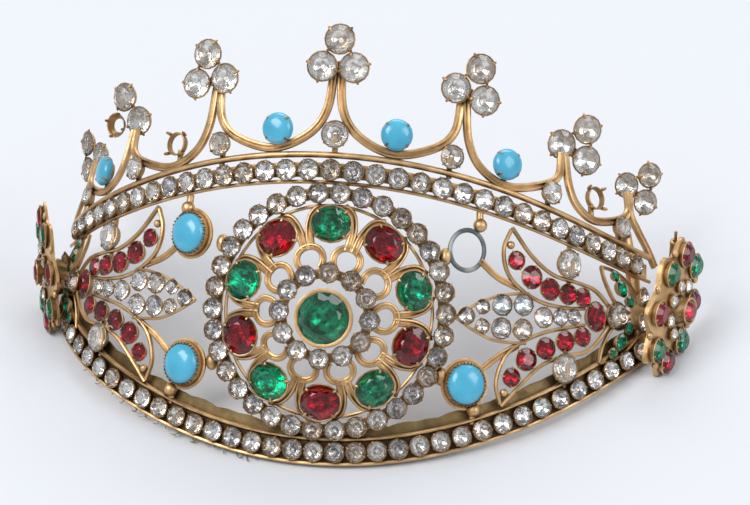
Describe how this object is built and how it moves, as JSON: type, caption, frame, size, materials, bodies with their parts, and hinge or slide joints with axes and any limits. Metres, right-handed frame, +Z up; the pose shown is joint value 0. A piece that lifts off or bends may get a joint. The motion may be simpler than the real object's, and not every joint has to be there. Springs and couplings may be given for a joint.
{
  "type": "tiara",
  "caption": "Gilt metal tiara with a pierced leaning front, a domed round medallion, side sprays, a cresting of arches with trefoil tips, and cut paste and turquoise stones.",
  "frame": {"origin": "middle of the bounding box at its bottom, on the surface it rests on", "axes": "+Z up, -Y is the front with the medallion, +X is the viewer's right from the front"},
  "size_m": [0.1454, 0.0768, 0.071],
  "materials": {
    "big_clear_end_l": "polished cut paste",
    "big_clear_end_r": "polished cut paste",
    "big_clear_lower_l": "polished cut paste",
    "big_clear_lower_r": "polished cut paste",
    "big_clear_upper_l": "polished cut paste",
    "big_clear_upper_r": "polished cut paste",
    "clear_leaf_l": "polished cut paste",
    "clear_leaf_r": "polished cut paste",
    "crest_centre_foot_stone": "polished cut paste",
    "crest_centre_trefoil": "polished cut paste",
    "crest_l1_foot_stone": "polished cut paste",
    "crest_l1_trefoil": "polished cut paste",
    "crest_l2_foot_stone": "polished cut paste",
    "crest_l2_trefoil": "polished cut paste",
    "crest_l3_foot_stone": "polished cut paste",
    "crest_l3_trefoil": "polished cut paste",
    "crest_r1_foot_stone": "polished cut paste",
    "crest_r1_trefoil": "polished cut paste",
    "crest_r2_foot_stone": "polished cut paste",
    "crest_r2_trefoil": "polished cut paste",
    "crest_r3_foot_stone": "polished cut paste",
    "crest_r3_trefoil": "polished cut paste",
    "emerald_centre": "polished cut paste",
    "frame": "worn warm gilt",
    "green_leaf_lower_l": "polished cut paste",
    "green_leaf_lower_r": "polished cut paste",
    "green_leaf_upper_l": "polished cut paste",
    "green_leaf_upper_r": "polished cut paste",
    "hinge_knuckle": "worn warm gilt",
    "inner_stone_ring": "polished cut paste",
    "lower_stone_row": "polished cut paste",
    "medallion_stone_ring": "polished cut paste",
    "oval_green_01": "polished cut paste",
    "oval_green_03": "polished cut paste",
    "oval_green_05": "polished cut paste",
    "oval_green_07": "polished cut paste",
    "oval_green_09": "polished cut paste",
    "oval_red_02": "polished cut paste",
    "oval_red_04": "polished cut paste",
    "oval_red_06": "polished cut paste",
    "oval_red_08": "polished cut paste",
    "oval_red_10": "polished cut paste",
    "ruby_petals_l": "polished cut paste",
    "ruby_petals_r": "polished cut paste",
    "side_rosette_l": "worn warm gilt",
    "side_rosette_r": "worn warm gilt",
    "turquoise_crest_1": "polished opaque blue",
    "turquoise_crest_2": "polished opaque blue",
    "turquoise_crest_3": "polished opaque blue",
    "turquoise_crest_4": "polished opaque blue",
    "turquoise_lower_l": "polished opaque blue",
    "turquoise_lower_r": "polished opaque blue",
    "turquoise_upper_l": "polished opaque blue",
    "upper_stone_row": "polished cut paste"
  },
  "bodies": {
    "root": {"big_clear_end_l": "big_clear_end_l", "big_clear_end_r": "big_clear_end_r", "big_clear_lower_l": "big_clear_lower_l", "big_clear_lower_r": "big_clear_lower_r", "big_clear_upper_l": "big_clear_upper_l", "big_clear_upper_r": "big_clear_upper_r", "clear_leaf_l": "clear_leaf_l", "clear_leaf_r": "clear_leaf_r", "crest_centre_foot_stone": "crest_centre_foot_stone", "crest_centre_trefoil": "crest_centre_trefoil", "crest_l1_foot_stone": "crest_l1_foot_stone", "crest_l1_trefoil": "crest_l1_trefoil", "crest_l2_foot_stone": "crest_l2_foot_stone", "crest_l2_trefoil": "crest_l2_trefoil", "crest_l3_foot_stone": "crest_l3_foot_stone", "crest_l3_trefoil": "crest_l3_trefoil", "crest_r1_foot_stone": "crest_r1_foot_stone", "crest_r1_trefoil": "crest_r1_trefoil", "crest_r2_foot_stone": "crest_r2_foot_stone", "crest_r2_trefoil": "crest_r2_trefoil", "crest_r3_foot_stone": "crest_r3_foot_stone", "crest_r3_trefoil": "crest_r3_trefoil", "emerald_centre": "emerald_centre", "frame": "frame", "green_leaf_lower_l": "green_leaf_lower_l", "green_leaf_lower_r": "green_leaf_lower_r", "green_leaf_upper_l": "green_leaf_upper_l", "green_leaf_upper_r": "green_leaf_upper_r", "hinge_knuckle": "hinge_knuckle", "inner_stone_ring": "inner_stone_ring", "lower_stone_row": "lower_stone_row", "medallion_stone_ring": "medallion_stone_ring", "oval_green_01": "oval_green_01", "oval_green_03": "oval_green_03", "oval_green_05": "oval_green_05", "oval_green_07": "oval_green_07", "oval_green_09": "oval_green_09", "oval_red_02": "oval_red_02", "oval_red_04": "oval_red_04", "oval_red_06": "oval_red_06", "oval_red_08": "oval_red_08", "oval_red_10": "oval_red_10", "ruby_petals_l": "ruby_petals_l", "ruby_petals_r": "ruby_petals_r", "side_rosette_l": "side_rosette_l", "side_rosette_r": "side_rosette_r", "turquoise_crest_1": "turquoise_crest_1", "turquoise_crest_2": "turquoise_crest_2", "turquoise_crest_3": "turquoise_crest_3", "turquoise_crest_4": "turquoise_crest_4", "turquoise_lower_l": "turquoise_lower_l", "turquoise_lower_r": "turquoise_lower_r", "turquoise_upper_l": "turquoise_upper_l", "upper_stone_row": "upper_stone_row"}
  },
  "joints": []
}
